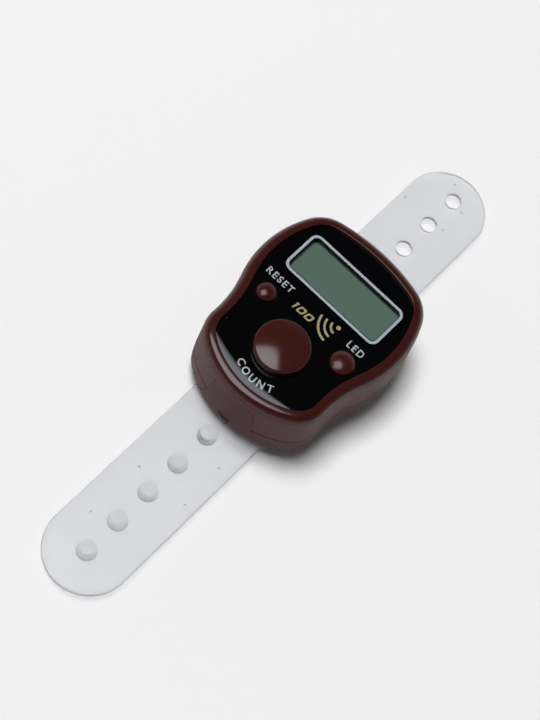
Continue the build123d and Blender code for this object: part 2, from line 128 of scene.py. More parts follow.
class Bench:
    """Operators that every piece is modelled with."""

    @staticmethod
    def only(piece: Object) -> None:
        """Select one object and make it the active one.

        Args:
            piece: The object.
        """
        bpy.ops.object.select_all(action="DESELECT")
        piece.select_set(True)
        bpy.context.view_layer.objects.active = piece

    @staticmethod
    def taken(name: str) -> Object:
        """Name the object that was just added and bring its place into its mesh.

        Args:
            name: Name of the object and of its mesh.

        Returns:
            The object, which sits at the origin.
        """
        piece = bpy.context.object
        piece.name = name
        piece.data.name = name
        Bench.only(piece)
        bpy.ops.object.transform_apply(location=True, rotation=True, scale=True)
        return piece

    @staticmethod
    def thrown_away(piece: Object) -> None:
        """Remove an object and its mesh.

        Args:
            piece: The object.
        """
        mesh = piece.data
        bpy.data.objects.remove(piece)
        bpy.data.meshes.remove(mesh)

    @staticmethod
    def add(
        name: str, operator: Callable[..., Any], stretch: Place = (1.0, 1.0, 1.0), **settings: Any
    ) -> Object:
        """Add an object with one of the add operators.

        Args:
            name: Name of the new object.
            operator: The operator.
            stretch: How much the object is stretched along each axis.
            **settings: Settings of the operator, with lengths in metres.

        Returns:
            The new object.
        """
        bpy.ops.object.select_all(action="DESELECT")
        operator(**settings)
        bpy.context.object.scale = stretch
        return Bench.taken(name)

    @staticmethod
    def cone(name: str, radii: Point, heights: Point, at: Point, sides: int = 56) -> Object:
        """Add an upright cone with its tip cut off.

        Args:
            name: Name of the new object.
            radii: Radii of its lower and its upper face.
            heights: Heights of its lower and its upper face.
            at: Place of its axis in plan.
            sides: Number of sides.

        Returns:
            The new object.
        """
        low, high = heights
        return Bench.add(
            name,
            bpy.ops.mesh.primitive_cone_add,
            vertices=sides,
            radius1=radii[0] * MM,
            radius2=radii[1] * MM,
            depth=(high - low) * MM,
            location=(at[0] * MM, at[1] * MM, (low + high) / 2 * MM),
        )

    @staticmethod
    def disc(name: str, radius: float, heights: Point, at: Point, sides: int = 64) -> Object:
        """Add an upright cylinder, as a cone with the same radius at both ends."""
        return Bench.cone(name, (radius, radius), heights, at, sides)

    @staticmethod
    def block(name: str, size: Place, at: Place, turn: float = 0.0) -> Object:
        """Add a block.

        Args:
            name: Name of the new object.
            size: Its length, width and height.
            at: Its middle.
            turn: Degrees that it is turned about the upright axis.

        Returns:
            The new object.
        """
        turned = (0.0, 0.0, math.radians(turn))
        cube = bpy.ops.mesh.primitive_cube_add
        return Bench.add(name, cube, size, size=MM, location=Vector(at) * MM, rotation=turned)

    @staticmethod
    @contextmanager
    def editing(piece: Object) -> Iterator[None]:
        """Hold one object open in edit mode, at first with all of it selected.

        Args:
            piece: The object.

        Yields:
            Nothing. The object is closed again afterwards.
        """
        Bench.only(piece)
        bpy.ops.object.mode_set(mode="EDIT")
        bpy.ops.mesh.select_all(action="SELECT")
        yield
        bpy.ops.object.mode_set(mode="OBJECT")

    @staticmethod
    def pick(piece: Object, part: Part, test: Test) -> None:
        """Select, in edit mode, the parts whose middle passes a test.

        Args:
            piece: The object that is open in edit mode.
            part: Which parts are selected.
            test: Takes the middle of a part in millimetres.
        """
        bpy.ops.mesh.select_mode(type=part.value)
        bpy.ops.mesh.select_all(action="DESELECT")
        work = bmesh.from_edit_mesh(piece.data)
        elements = {Part.VERTICES: work.verts, Part.EDGES: work.edges, Part.FACES: work.faces}[part]
        for element in elements:
            corners = [element] if part is Part.VERTICES else element.verts
            middle = sum((corner.co for corner in corners), Vector()) / len(corners)
            if test(middle / MM):
                element.select_set(True)
        work.select_flush_mode()
        bmesh.update_edit_mesh(piece.data)

    @staticmethod
    def round_edges(piece: Object, test: Test, width: float, steps: int) -> None:
        """Round the edges of a piece whose middle passes a test.

        Args:
            piece: The piece to round.
            test: Takes the middle of an edge in millimetres.
            width: Width of the round.
            steps: Number of faces across the round.
        """
        with Bench.editing(piece):
            Bench.pick(piece, Part.EDGES, test)
            bpy.ops.mesh.bevel(offset=width * MM, offset_type="OFFSET", segments=steps, affect="EDGES")

    @staticmethod
    def cut(piece: Object, tool: Object, how: Cut) -> None:
        """Take a tool away from a piece or add it, and remove the tool.

        Args:
            piece: The piece that changes.
            tool: The mesh that acts on it.
            how: Whether the tool is taken away or added.
        """
        Bench.only(piece)
        change = piece.modifiers.new("cut", "BOOLEAN")
        change.operation = how.value
        change.solver = "EXACT"
        change.object = tool
        bpy.ops.object.modifier_apply(modifier=change.name)
        Bench.thrown_away(tool)

    @staticmethod
    def joined(pieces: Sequence[Object], name: str) -> Object:
        """Join objects into the first of them.

        Args:
            pieces: The objects to join.
            name: Name of the result.

        Returns:
            The joined object.
        """
        Bench.only(pieces[0])
        for piece in pieces:
            piece.select_set(True)
        bpy.ops.object.join()
        pieces[0].name = name
        pieces[0].data.name = name
        return pieces[0]

    @staticmethod
    def smooth(piece: Object, degrees: float = 40.0) -> None:
        """Shade round faces smooth and keep flat ones flat.

        Args:
            piece: The piece to shade.
            degrees: Edges sharper than this stay sharp.
        """
        Bench.only(piece)
        bpy.ops.object.shade_smooth_by_angle(angle=math.radians(degrees))
        normals = piece.modifiers.new("flat faces", "WEIGHTED_NORMAL")
        normals.keep_sharp = True
        bpy.ops.object.modifier_apply(modifier=normals.name)

    @staticmethod
    def lettering(name: str, words: str, thickness: float, weight: float, spacing: float) -> Object:
        """Set plain words as a flat mesh about the origin.

        Args:
            name: Name of the new object.
            words: The words.
            thickness: Thickness of the ink.
            weight: Share of the height by which strokes grow.
            spacing: Space between letters, as a multiple of the usual one.

        Returns:
            The new object, one millimetre in type size.
        """
        bpy.ops.object.select_all(action="DESELECT")
        bpy.ops.object.text_add()
        text = bpy.context.object
        text.data.body = words
        text.data.size = MM
        text.data.space_character = spacing
        text.data.offset = weight * MM
        text.data.extrude = thickness / 2 * MM
        Bench.only(text)
        bpy.ops.object.convert(target="MESH")
        return Bench.taken(name)

    @staticmethod
    def fit(piece: Object, width: float | None, height: float, at: Place) -> None:
        """Scale a flat piece to a width and height and put its middle at a point.

        Args:
            piece: The piece to fit.
            width: Its new width, or None to keep its proportions.
            height: Its new height.
            at: Its new middle.
        """
        corners = [Vector(corner) for corner in piece.bound_box]
        low = Vector([min(corner[axis] for corner in corners) for axis in range(3)])
        high = Vector([max(corner[axis] for corner in corners) for axis in range(3)])
        tall = height * MM / (high.y - low.y)
        wide = tall if width is None else width * MM / (high.x - low.x)
        move = Matrix.Translation(Vector(at) * MM) @ Matrix.Diagonal((wide, tall, 1.0, 1.0))
        piece.data.transform(move @ Matrix.Translation(-(low + high) / 2))


# Nodes of materials, effects, lamps and the world


def spaced(values: dict[str, Any]) -> dict[str, Any]:
    """The same values, with the underscores of their names as spaces."""
    return {title.replace("_", " "): value for title, value in values.items()}


class Wiring:
    """A node tree. A value that its methods take is a number, a colour, a vector or the output of a node."""

    def __init__(self, tree: bpy.types.NodeTree) -> None:
        """Take hold of a node tree."""
        self.tree = tree

    def feed(self, socket: Any, value: Any) -> None:
        """Set an input, or join an output to it.

        Args:
            socket: The input.
            value: The value.
        """
        if isinstance(value, bpy.types.NodeSocket):
            self.tree.links.new(value, socket)
        elif socket.type == "RGBA":
            socket.default_value = (*value, 1.0)
        else:
            socket.default_value = value

    def node(self, kind: str, inputs: dict[str | int, Any] | None = None, **settings: Any) -> Any:
        """Add a node.

        Args:
            kind: Blender's name of the node, without ShaderNode in front.
            inputs: Values of its inputs, by name or number.
            **settings: Its properties.

        Returns:
            The node.
        """
        made = self.tree.nodes.new("ShaderNode" + kind)
        for title, setting in settings.items():
            setattr(made, title, setting)
        for title, value in (inputs or {}).items():
            self.feed(made.inputs[title], value)
        return made

    def spot(self) -> Any:
        """The output that gives the place on the object."""
        return self.node("TexCoord").outputs["Object"]

    def geometry(self, title: str) -> Any:
        """The output of that name that tells of the surface."""
        return self.node("NewGeometry").outputs[title]

    def height(self, vector: Any) -> Any:
        """The output with the upright part of a vector."""
        return self.node("SeparateXYZ", {"Vector": vector}).outputs["Z"]

    def number(self, operation: str, first: Any, second: Any = 0.0) -> Any:
        """The output with a number that is worked out from one or two."""
        return self.node("Math", {0: first, 1: second}, operation=operation).outputs["Value"]

    def vector(self, operation: str, first: Any, second: Any = (0.0, 0.0, 0.0)) -> Any:
        """Work with one or two vectors.

        Args:
            operation: Name of the operation.
            first: The first vector.
            second: The second vector, or the number that the first is scaled by.

        Returns:
            The output with the result, which for a length or a dot product is a number.
        """
        other = "Scale" if operation == "SCALE" else 1
        made = self.node("VectorMath", {0: first, other: second}, operation=operation)
        return made.outputs["Value" if operation in ("LENGTH", "DOT_PRODUCT") else "Vector"]

    def span(self, value: Any, source: Point, result: Point, smooth: bool = True) -> Any:
        """Map a number from one range to another, held at both ends.

        Args:
            value: The number.
            source: The two ends of its range.
            result: What the two ends become.
            smooth: Whether the result leaves and meets its ends gently.

        Returns:
            The output with the result.
        """
        ends = zip(("From Min", "From Max", "To Min", "To Max"), (*source, *result))
        curve = "SMOOTHSTEP" if smooth else "LINEAR"
        made = self.node("MapRange", {"Value": value, **dict(ends)}, interpolation_type=curve)
        return made.outputs["Result"]

    def between(self, share: Any, result: Point) -> Any:
        """The output that runs from the first number of a pair to the second as a share goes from 0 to 1."""
        return self.span(share, (0.0, 1.0), result)

    def blend(self, share: Any, first: Any, second: Any) -> Any:
        """The output that mixes two colours by the share of the second."""
        return self.node("Mix", {0: share, 6: first, 7: second}, data_type="RGBA").outputs[2]


class Effect(Wiring, ABC):
    """Node group that several finishes share. It is built at its first use."""

    name: str
    inputs: dict[str, float]
    outputs: tuple[str, ...]

    def __init__(self) -> None:
        """Open the group with its sockets and fill it."""
        super().__init__(bpy.data.node_groups.new(self.name, "ShaderNodeTree"))
        sockets = self.tree.interface
        for title, value in self.inputs.items():
            sockets.new_socket(title, in_out="INPUT", socket_type="NodeSocketFloat").default_value = value
        for title in self.outputs:
            sockets.new_socket(title, in_out="OUTPUT", socket_type="NodeSocketFloat")
        self.given = self.tree.nodes.new("NodeGroupInput").outputs
        self.result = self.tree.nodes.new("NodeGroupOutput").inputs
        self.fill()

    @classmethod
    def group(cls) -> bpy.types.NodeTree:
        """The node group, built if it isn't there yet."""
        return bpy.data.node_groups.get(cls.name) or cls().tree

    @abstractmethod
    def fill(self) -> None:
        """Add the nodes between the inputs and the outputs."""


class MouldedGrain(Effect):
    """Fine grain of a moulding: a height for bump and a slow mottle for colour."""

    name = "moulded_grain"
    inputs = {"Grain Scale": 9000.0, "Mottle Scale": 160.0}
    outputs = ("Height", "Mottle")
    detail = 4.0
    roughness = 0.6

    def fill(self) -> None:
        """Add one noise for each output."""
        for scale, title in zip(self.inputs, self.outputs):
            look = {"Scale": self.given[scale], "Detail": self.detail, "Roughness": self.roughness}
            noise = self.node("TexNoise", {"Vector": self.spot(), **look})
            self.feed(self.result[title], noise.outputs["Fac"])


class Handling(Effect):
    """Smudges left by fingers, as a mask that is strong in a few wide patches."""

    name = "handling"
    inputs = {"Patch Scale": 140.0}
    outputs = ("Smudge",)
    detail = 6.0
    distortion = 0.8
    patches: Point = (0.48, 0.72)

    def fill(self) -> None:
        """Keep the peaks of one uneven noise."""
        look = {"Scale": self.given["Patch Scale"], "Detail": self.detail, "Distortion": self.distortion}
        noise = self.node("TexNoise", {"Vector": self.spot(), **look})
        peaks = self.span(noise.outputs["Fac"], self.patches, (0.0, 1.0), smooth=False)
        self.feed(self.result["Smudge"], peaks)


class DustSpecks(Effect):
    """Scattered specks, as a mask. Only some cells of the pattern hold one."""

    name = "dust"
    inputs = {"Cell Scale": 420.0, "Speck Radius": 0.03, "Share": 0.12}
    outputs = ("Specks",)

    def fill(self) -> None:
        """Keep the middles of the cells whose random colour falls below the share."""
        cells = self.node("TexVoronoi", {"Vector": self.spot(), "Scale": self.given["Cell Scale"]})
        near = self.number("LESS_THAN", cells.outputs["Distance"], self.given["Speck Radius"])
        chance = self.node("SeparateColor", {"Color": cells.outputs["Color"]}).outputs["Red"]
        some = self.number("LESS_THAN", chance, self.given["Share"])
        self.feed(self.result["Specks"], self.number("MULTIPLY", near, some))


class Sheet(Wiring):
    """Node tree of one material, with its Principled shader."""

    def __init__(self, name: str) -> None:
        """Open a new material of that name."""
        self.material = bpy.data.materials.new(name)
        self.material.use_nodes = True
        super().__init__(self.material.node_tree)
        self.shader = self.tree.nodes["Principled BSDF"]

    def put(self, **values: Any) -> None:
        """Feed sockets of the shader, by name with spaces as underscores."""
        for title, value in spaced(values).items():
            self.feed(self.shader.inputs[title], value)

    def effect(self, kind: type[Effect], **values: float) -> Any:
        """Outputs of a shared effect, whose inputs are given by name with spaces as underscores."""
        return self.node("Group", spaced(values), node_tree=kind.group()).outputs

    def level(self) -> Any:
        """The output that is 1 on a level face and 0 on an upright one."""
        return self.number("ABSOLUTE", self.height(self.geometry("Normal")))

    def bump(self, height: Any, strength: float, depth: float) -> None:
        """Roughen the surface by a height.

        Args:
            height: The height.
            strength: Strength of the effect.
            depth: Depth in millimetres.
        """
        look = {"Height": height, "Strength": strength, "Distance": depth * MM}
        self.put(Normal=self.node("Bump", look).outputs["Normal"])

    def see_through(self, share: Any, tint: Colour) -> None:
        """Let a share of the light pass straight through the surface.

        Args:
            share: The share of the light that passes.
            tint: Colour of the light that passes.
        """
        clear = self.node("BsdfTransparent", {"Color": tint}).outputs["BSDF"]
        mixed = self.node("MixShader", {"Fac": share, 1: self.shader.outputs["BSDF"], 2: clear})
        self.feed(self.tree.nodes["Material Output"].inputs["Surface"], mixed.outputs["Shader"])


# Finishes


@dataclass(frozen=True)
class Dust:
    """Specks of dust that lie on a finish."""

    colour: Colour = (0.5, 0.48, 0.46)
    cover: float = 0.6
    share: float = 0.2
    cell_scale: float = 420.0
    speck_radius: float = 0.03

    def over(self, sheet: Sheet, below: Any) -> Any:
        """Scatter the dust over a colour.

        Args:
            sheet: The material.
            below: The colour.

        Returns:
            The output with the dusty colour.
        """
        values = {"Cell_Scale": self.cell_scale, "Share": self.share, "Speck_Radius": self.speck_radius}
        specks = sheet.effect(DustSpecks, **values)["Specks"]
        return sheet.blend(sheet.number("MULTIPLY", specks, self.cover), below, self.colour)


@dataclass(frozen=True)
class Finish(ABC):
    """A material with a main colour that wavers between two shares of itself."""

    name: str
    colour: Colour
    waver: Point = (0.85, 1.15)

    def material(self) -> Material:
        """Build the material.

        Returns:
            The new material.
        """
        sheet = Sheet(self.name)
        self.paint(sheet)
        return sheet.material

    @abstractmethod
    def paint(self, sheet: Sheet) -> None:
        """Fill the node tree of the new material."""

    def shade(self, share: float) -> Colour:
        """The main colour with each channel times a share."""
        return tuple(channel * share for channel in self.colour)

    def mottled(self, sheet: Sheet, mottle: Any) -> Any:
        """The output with the main colour as it wavers with a mottle."""
        return sheet.blend(mottle, *(self.shade(share) for share in self.waver))


@dataclass(frozen=True)
class MouldedPlastic(Finish):
    """Opaque moulded plastic: gloss all over, or gloss above a height and satin below it."""

    gloss_roughness: float = 0.14
    gloss_smudge: float = 0.06
    gloss_specular: float = 0.5
    gloss_grain: float = 0.05
    satin_roughness: float = 0.52
    satin_smudge: float = 0.05
    satin_specular: float = 0.26
    satin_grain: float = 0.35
    satin_lift: float = 1.6
    satin_to: float | None = None
    gloss_from: float = 0.0
    grain_depth: float = 0.012
    refraction: float = 1.5
    dust: Dust = Dust()

    def paint(self, sheet: Sheet) -> None:
        """Fill the node tree of the new material.

        Args:
            sheet: The material.
        """
        grain = sheet.effect(MouldedGrain)
        smudge = sheet.effect(Handling)["Smudge"]
        colour = self.mottled(sheet, grain["Mottle"])
        if self.satin_to is None:
            smudged = self.gloss_roughness + self.gloss_smudge
            roughness = sheet.between(smudge, (self.gloss_roughness, smudged))
            sheet.bump(grain["Height"], self.gloss_grain, self.grain_depth)
        else:
            levels = (self.satin_to * MM, self.gloss_from * MM)
            satin = sheet.span(sheet.height(sheet.spot()), levels, (1.0, 0.0))
            colour = sheet.blend(satin, colour, self.shade(self.satin_lift))
            clean = sheet.between(satin, (self.gloss_roughness, self.satin_roughness))
            roughness = sheet.number("ADD", clean, sheet.number("MULTIPLY", smudge, self.satin_smudge))
            sheet.put(Specular_IOR_Level=sheet.between(satin, (self.gloss_specular, self.satin_specular)))
            sheet.bump(sheet.number("MULTIPLY", grain["Height"], satin), self.satin_grain, self.grain_depth)
        sheet.put(Base_Color=self.dust.over(sheet, colour), Roughness=roughness, IOR=self.refraction)


@dataclass(frozen=True)
class NearEdge:
    """Near edge of the panel, which bends down beyond a circle in plan and then slopes straight on."""

    middle_y: float = 8.3
    start: float = 22.0
    bend_radius: float = 2.4
    slope: float = 12.0

    def fall(self, x: float, y: float) -> float:
        """How far the edge lies below the panel's flat face.

        Args:
            x: Place across the panel.
            y: Place along the panel.

        Returns:
            The fall, which is 0 on the flat face.
        """
        beyond = math.hypot(x, y - self.middle_y) - self.start
        angle = math.radians(self.slope)
        bend_end = self.bend_radius * math.sin(angle)
        if beyond <= 0.0:
            return 0.0
        if beyond < bend_end:
            return self.bend_radius - math.sqrt(self.bend_radius**2 - beyond**2)
        return self.bend_radius * (1 - math.cos(angle)) + (beyond - bend_end) * math.tan(angle)


@dataclass(frozen=True)
class GlossPanel(Finish):
    """Gloss black printed panel with matt cut walls, a crowned near edge, faint smudges and a little dust."""

    colour: Colour = (0.0012, 0.0012, 0.0016)
    roughness: Point = (0.04, 0.11)
    smudge_scale: float = 90.0
    wall_to_face: Point = (0.2, 0.6)
    specular: Point = (0.05, 0.5)
    specular_tint: Colour = (0.88, 0.95, 1.0)
    refraction: float = 1.49
    dust: Dust = Dust((0.2, 0.2, 0.2), cover=0.5, cell_scale=520.0, speck_radius=0.05)
    edge: NearEdge = NearEdge()
    edge_straight: float = 22.35
    edge_end: float = 23.5
    lean_in: float = -0.105
    lean_out: float = 0.035

    def paint(self, sheet: Sheet) -> None:
        """Fill the node tree of the new material.

        Args:
            sheet: The material.
        """
        smudge = sheet.effect(Handling, Patch_Scale=self.smudge_scale)["Smudge"]
        sheet.put(
            Base_Color=self.dust.over(sheet, self.colour),
            Roughness=sheet.between(smudge, self.roughness),
            Specular_IOR_Level=sheet.span(sheet.level(), self.wall_to_face, self.specular),
            Specular_Tint=self.specular_tint,
            IOR=self.refraction,
            Normal=self._crown(sheet),
        )

    def _crown(self, sheet: Sheet) -> Any:
        """Turn the normal a little across the sloped near edge, which is slightly round.

        Args:
            sheet: The material.

        Returns:
            The output with the turned normal.
        """
        away = sheet.vector("SUBTRACT", sheet.spot(), (0.0, self.edge.middle_y * MM, 0.0))
        flat = sheet.vector("MULTIPLY", away, (1.0, 1.0, 0.0))
        reach = sheet.vector("LENGTH", flat)
        start, straight, end = self.edge.start * MM, self.edge_straight * MM, self.edge_end * MM
        inner = sheet.span(reach, (start, straight), (0.0, self.lean_in))
        outer = sheet.span(reach, (straight, end), (0.0, self.lean_out - self.lean_in))
        lean = sheet.number("ADD", inner, outer)
        turn = sheet.vector("SCALE", sheet.vector("NORMALIZE", flat), lean)
        return sheet.vector("NORMALIZE", sheet.vector("ADD", sheet.geometry("Normal"), turn))


@dataclass(frozen=True)
class DullStuff(Finish):
    """Rubber, epoxy, ceramic and other dull materials, with a fine relief."""

    waver: Point = (0.8, 1.15)
    roughness: float = 0.6
    roughness_reach: float = 0.08
    metallic: float = 0.0
    grain_scale: float = 9000.0
    mottle_scale: float = 700.0
    relief: float = 0.2
    relief_depth: float = 0.02

    def paint(self, sheet: Sheet) -> None:
        """Fill the node tree of the new material.

        Args:
            sheet: The material.
        """
        grain = sheet.effect(MouldedGrain, Grain_Scale=self.grain_scale, Mottle_Scale=self.mottle_scale)
        ends = (self.roughness - self.roughness_reach, self.roughness + self.roughness_reach)
        roughness = sheet.span(grain["Height"], NOISE_RANGE, ends)
        colour = self.mottled(sheet, grain["Mottle"])
        sheet.put(Base_Color=colour, Roughness=roughness, Metallic=self.metallic)
        if self.relief:
            sheet.bump(grain["Height"], self.relief, self.relief_depth)


@dataclass(frozen=True)
class Ink(DullStuff):
    """Screen-printed ink: a slightly uneven coat with no relief."""

    waver: Point = (0.9, 1.1)
    roughness: float = 0.35
    roughness_reach: float = 0.05
    grain_scale: float = 14000.0
    mottle_scale: float = 1400.0
    relief: float = 0.0


@dataclass(frozen=True)
class DisplayFilm(DullStuff):
    """Grey-green display with no segment on, a little cloudy."""

    colour: Colour = (0.121, 0.172, 0.152)
    waver: Point = (0.94, 1.06)
    roughness: float = 0.36
    roughness_reach: float = 0.04
    grain_scale: float = 16000.0
    mottle_scale: float = 90.0
    relief: float = 0.0


@dataclass(frozen=True)
class ClearPane(Finish):
    """Thin clear plate: see-through, with a mirror that grows at low angles on its outer faces."""

    colour: Colour = (0.93, 0.97, 0.95)
    roughness: Point = (0.01, 0.05)
    smudge_scale: float = 110.0
    refraction: float = 1.45

    def paint(self, sheet: Sheet) -> None:
        """Fill the node tree of the new material.

        Args:
            sheet: The material.
        """
        smudge = sheet.effect(Handling, Patch_Scale=self.smudge_scale)["Smudge"]
        sheet.put(Base_Color=WHITE, Metallic=1.0, Roughness=sheet.between(smudge, self.roughness))
        mirror = sheet.node("Fresnel", {"IOR": self.refraction}).outputs["Fac"]
        outer = sheet.number("SUBTRACT", 1.0, sheet.geometry("Backfacing"))
        mirrored = sheet.number("MULTIPLY", mirror, outer)
        sheet.see_through(sheet.number("SUBTRACT", 1.0, mirrored), self.colour)


@dataclass(frozen=True)
class MilkyVinyl(Finish):
    """Soft clear plastic: milky, slightly frosted and denser where it is thick. Its upright faces carry
    painted shade, which also stands for the denser look of thick edges: a dark rim on the band's edges and
    darker sides on the pegs.

    Most of the light of lamps and of dull surfaces passes straight through it.
    """

    colour: Colour = (0.82, 0.832, 0.847)
    waver: Point = (0.97, 1.03)
    thick_colour: Colour = (0.69, 0.702, 0.752)
    # Painted shade on upright faces: a dark colour for the band's edges and a darker one for the peg sides
    rim_shade_colour: Colour = (0.28, 0.28, 0.315)
    peg_side_shade_colour: Colour = (0.53, 0.545, 0.59)
    band_to_peg: Point = (2.3, 3.4)
    side_to_face: Point = (0.3, 0.99)
    roughness: Point = (0.16, 0.26)
    transmission: float = 0.82
    refraction: float = 1.42
    passing: float = 0.88
    passing_colour: Colour = (0.97, 0.972, 0.985)
    grain_scale: float = 5200.0
    mottle_scale: float = 60.0
    relief: float = 0.12
    relief_depth: float = 0.02
    dust: Dust = Dust((0.12, 0.11, 0.1), cover=0.8, share=0.35, speck_radius=0.085)

    def paint(self, sheet: Sheet) -> None:
        """Fill the node tree of the new material.

        Args:
            sheet: The material.
        """
        grain = sheet.effect(MouldedGrain, Grain_Scale=self.grain_scale, Mottle_Scale=self.mottle_scale)
        band, peg = self.band_to_peg
        thick = sheet.span(sheet.height(sheet.spot()), (band * MM, peg * MM), (0.0, 1.0))
        face = sheet.blend(thick, self.mottled(sheet, grain["Mottle"]), self.thick_colour)
        # Upright faces get the painted shade: dark on the band's edges, darker on the peg sides
        side = sheet.blend(thick, self.rim_shade_colour, self.peg_side_shade_colour)
        side_shaded = sheet.blend(sheet.span(sheet.level(), self.side_to_face, (1.0, 0.0)), face, side)
        sheet.put(
            Base_Color=self.dust.over(sheet, side_shaded),
            Roughness=sheet.span(grain["Mottle"], NOISE_RANGE, self.roughness),
            Transmission_Weight=self.transmission,
            IOR=self.refraction,
        )
        sheet.bump(grain["Height"], self.relief, self.relief_depth)
        ray = sheet.node("LightPath").outputs
        passed = sheet.number("MAXIMUM", ray["Is Shadow Ray"], ray["Is Diffuse Ray"])
        sheet.see_through(sheet.number("MULTIPLY", passed, self.passing), self.passing_colour)


@dataclass(frozen=True)
class BareMetal(Finish):
    """Plated or bare metal, a little tarnished, with fine lines along one axis."""

    waver: Point = (0.85, 1.0)
    roughness: float = 0.28
    smoother: float = 0.06
    rougher: float = 0.08
    line_scale: float = 6000.0
    line_stretch: Place = (1.0, 0.04, 1.0)
    tarnish_scale: float = 420.0

    def paint(self, sheet: Sheet) -> None:
        """Fill the node tree of the new material.

        Args:
            sheet: The material.
        """
        tarnish = sheet.effect(MouldedGrain, Mottle_Scale=self.tarnish_scale)["Mottle"]
        drawn = sheet.node("Mapping", {"Vector": sheet.spot(), "Scale": self.line_stretch}).outputs["Vector"]
        lines = sheet.node("TexNoise", {"Vector": drawn, "Scale": self.line_scale}).outputs["Fac"]
        ends = (self.roughness - self.smoother, self.roughness + self.rougher)
        roughness = sheet.span(lines, NOISE_RANGE, ends)
        sheet.put(Base_Color=self.mottled(sheet, tarnish), Roughness=roughness, Metallic=1.0)


@dataclass(frozen=True)
class BoardMask(Finish):
    """Green solder mask with copper runs that show through it."""

    colour: Colour = (0.012, 0.085, 0.035)
    waver: Point = (1.0, 0.8)
    run_colour: Colour = (0.03, 0.16, 0.06)
    run_scale: float = 420.0
    run_width: float = 0.06
    run_length: float = 1.4
    shift: float = 0.5
    squeeze: float = 0.6
    roughness: Point = (0.3, 0.22)

    def paint(self, sheet: Sheet) -> None:
        """Fill the node tree of the new material.

        Args:
            sheet: The material.
        """
        first, second = (self.shade(share) for share in self.waver)
        colours = {"Color1": first, "Color2": second, "Mortar": self.run_colour}
        sizes = {"Scale": self.run_scale, "Mortar Size": self.run_width, "Brick Width": self.run_length}
        inputs = {"Vector": sheet.spot(), **colours, **sizes}
        runs = sheet.node("TexBrick", inputs, offset=self.shift, squash=self.squeeze).outputs
        sheet.put(Base_Color=runs["Color"], Roughness=sheet.between(runs["Fac"], self.roughness))


@dataclass(frozen=True)
class FloorPaper(Finish):
    """Pale matt paper that is clear from below."""

    colour: Colour = (0.9, 0.9, 0.9)
    waver: Point = (0.995, 1.0)
    roughness: float = 0.9
    specular: float = 0.1
    mottle_scale: float = 6.0

    def paint(self, sheet: Sheet) -> None:
        """Fill the node tree of the new material.

        Args:
            sheet: The material.
        """
        mottle = sheet.effect(MouldedGrain, Mottle_Scale=self.mottle_scale)["Mottle"]
        even = self.mottled(sheet, mottle)
        sheet.put(Base_Color=even, Roughness=self.roughness, Specular_IOR_Level=self.specular)
        sheet.see_through(sheet.geometry("Backfacing"), WHITE)


def dress_nodes(finish: Finish, *names: str) -> None:
    """Give solids one finish.

    Args:
        finish: The finish.
        *names: Names of the solids.
    """
    material = finish.material()
    for name in names:
        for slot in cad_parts[name].material_slots:
            slot.material = material
        log.info("dressed %s with %s", name, material.name)


def finish_piece(piece: Object, material: Material, body: Body | None) -> None:
    """Give a new piece its material and let it ride on a body.

    Args:
        piece: The new piece.
        material: Its material.
        body: The body that it moves with, or None to leave it on no body.
    """
    piece.data.materials.clear()
    piece.data.materials.append(material)
    if body:
        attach(piece, body.value)
    log.info("made %s with %s", piece.name, material.name)


# Pieces


@dataclass
class CaseShell:
    """The two mouldings of the case and the three buttons, dressed where they stand."""

    brown: Colour = (0.044, 0.0085, 0.007)
    satin_to: float = 14.5
    gloss_from: float = 15.25
    large_roughness: float = 0.17
    small_roughness: float = 0.24
    button_dust: Dust = Dust(share=0.03)

    def dress(self) -> None:
        """Give the case a gloss rim and a satin wall, and the buttons a gloss all over."""
        case = MouldedPlastic("case_brown", self.brown, satin_to=self.satin_to, gloss_from=self.gloss_from)
        dress_nodes(case, "upper_case", "back_cover")
        self._dress_buttons("large_button_brown", self.large_roughness, "count_button")
        self._dress_buttons("small_button_brown", self.small_roughness, "reset_button", "led_button")

    def _dress_buttons(self, finish: str, roughness: float, *names: str) -> None:
        """Give buttons the brown of the case at a roughness of their own."""
        look = MouldedPlastic(finish, self.brown, gloss_roughness=roughness, dust=self.button_dust)
        dress_nodes(look, *names)


